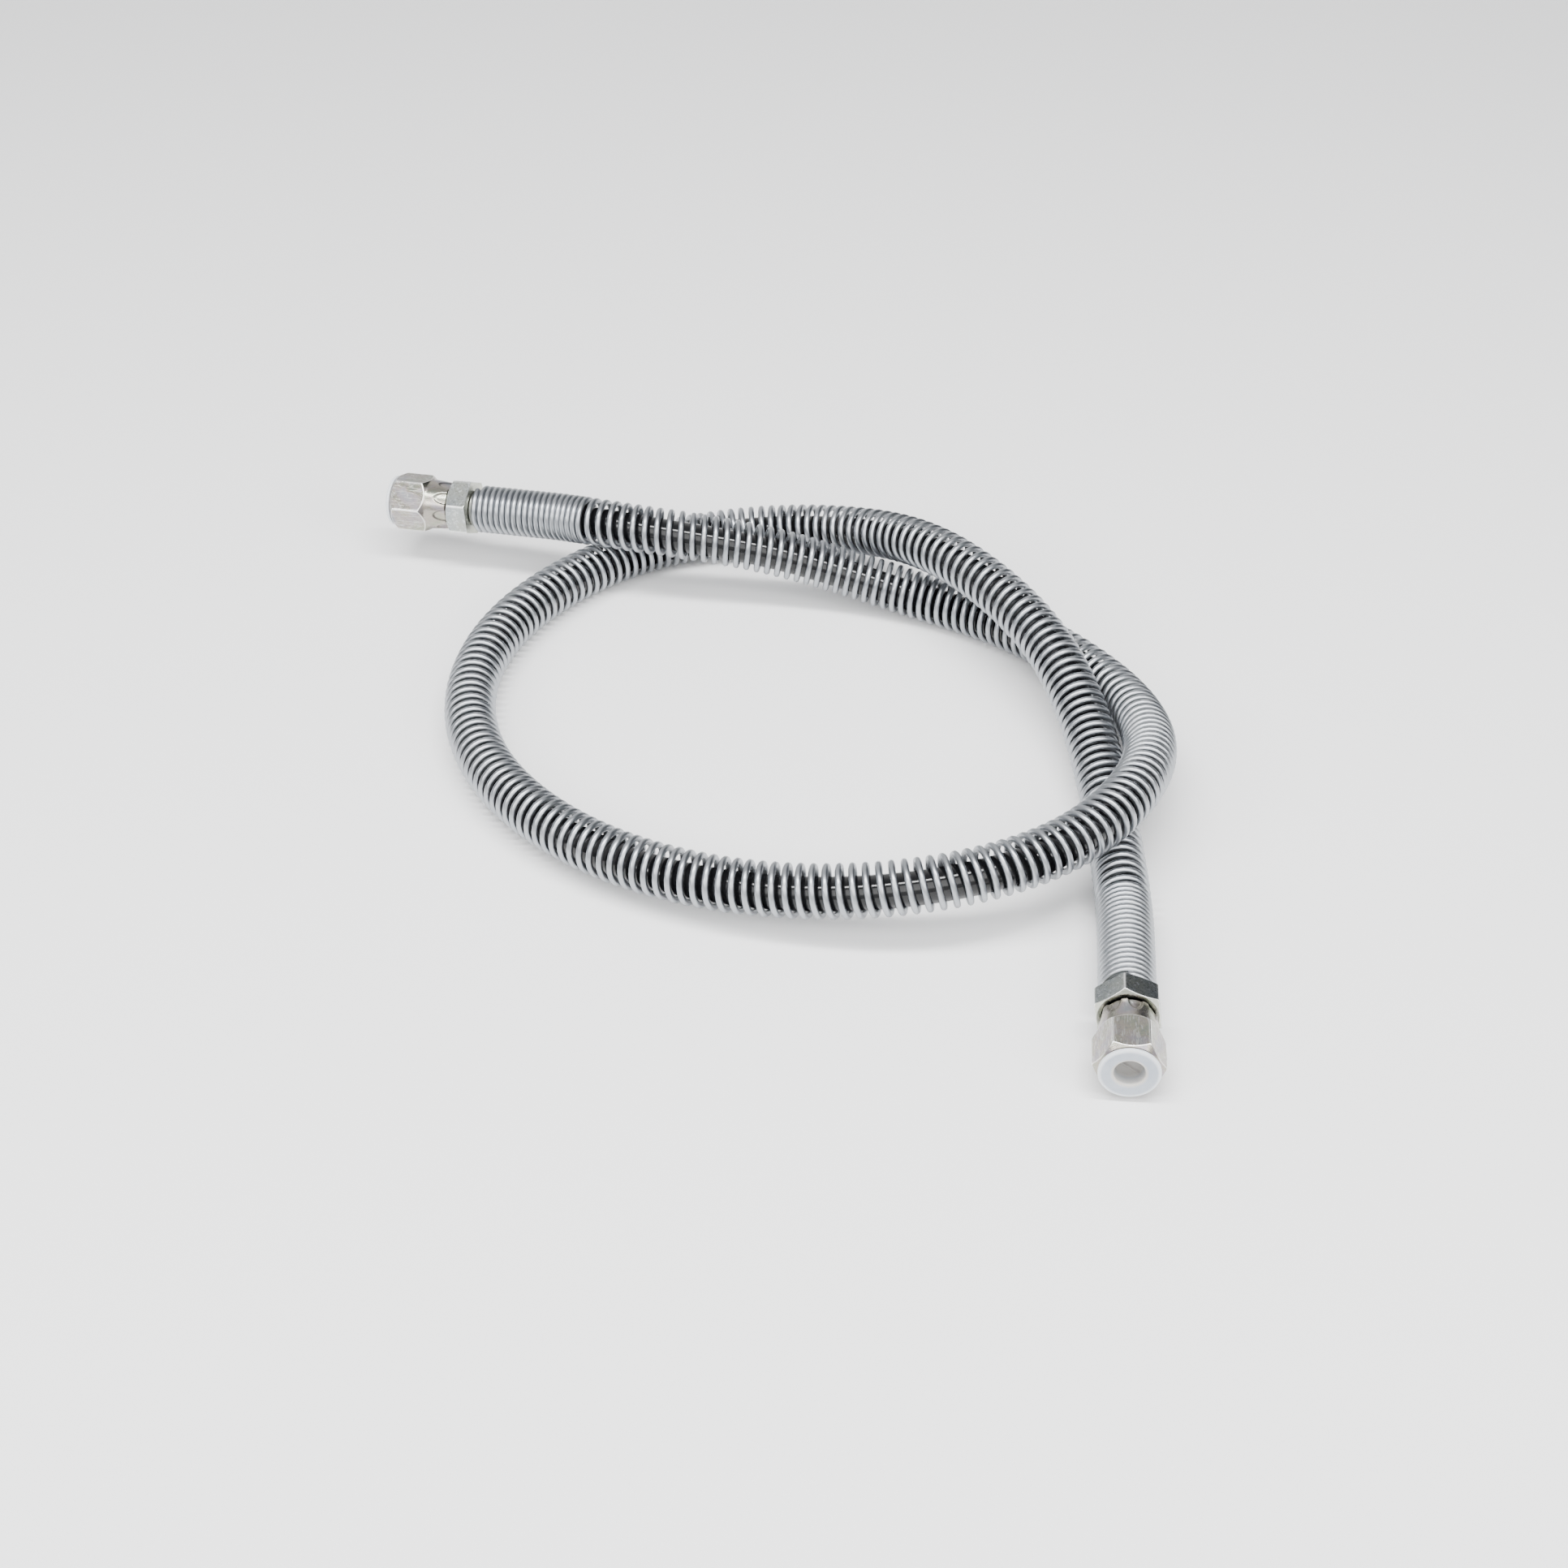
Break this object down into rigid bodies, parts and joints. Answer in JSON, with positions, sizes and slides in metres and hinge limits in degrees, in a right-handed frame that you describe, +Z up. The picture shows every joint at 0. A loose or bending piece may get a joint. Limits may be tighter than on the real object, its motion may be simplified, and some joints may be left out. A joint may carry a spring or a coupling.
{
  "type": "spring guarded hose assembly",
  "caption": "Flexible hydraulic hose in a coiled steel wire spring guard, with a swivel nut fitting and a push-in plug on each end, lying in one loose overhand loop.",
  "frame": {"origin": "under the middle of the two end fittings' common box, on the surface that the hose lies on", "axes": "+Z up, +Y the longest side of the fittings' common box, away from the outlet fitting, +X across it"},
  "size_m": [0.3235, 0.3609, 0.0437],
  "materials": {
    "hose_liner": "matte",
    "hose_braid": "woven",
    "hose_cover": "gloss",
    "spring_wire": "satin zinc-plated",
    "insert_zinc": "satin zinc-plated",
    "nut_zinc": "satin zinc-plated",
    "ferrule_zinc": "satin zinc-plated",
    "o_ring": "matte",
    "plug": "translucent satin"
  },
  "bodies": {
    "hose": {"hose_liner": "hose_liner", "hose_braid": "hose_braid", "hose_cover": "hose_cover", "spring_guard": "spring_wire", "inlet_insert": "insert_zinc", "inlet_ferrule": "ferrule_zinc", "inlet_o_ring": "o_ring", "outlet_insert": "insert_zinc", "outlet_ferrule": "ferrule_zinc", "outlet_o_ring": "o_ring"},
    "inlet_nut": {"inlet_swivel_nut": "nut_zinc"},
    "inlet_plug": {"inlet_plug": "plug"},
    "outlet_nut": {"outlet_swivel_nut": "nut_zinc"},
    "outlet_plug": {"outlet_plug": "plug"}
  },
  "joints": [
    {"name": "inlet_nut_spin", "type": "hinge", "parent": "hose", "child": "inlet_nut", "pos_m": [-0.13422, 0.16545, 0.02676], "axis": [-0.9593, 0.2769, -0.0558], "continuous": true},
    {"name": "inlet_plug_pull", "type": "slide", "parent": "inlet_nut", "child": "inlet_plug", "axis": [-0.9593, 0.2769, -0.0558], "range_m": [0, 0.012]},
    {"name": "outlet_nut_spin", "type": "hinge", "parent": "hose", "child": "outlet_nut", "pos_m": [0.13771, -0.16501, 0.0127], "axis": [-0.0872, -0.9962, 0], "continuous": true},
    {"name": "outlet_plug_pull", "type": "slide", "parent": "outlet_nut", "child": "outlet_plug", "axis": [-0.0872, -0.9962, 0], "range_m": [0, 0.012]}
  ]
}
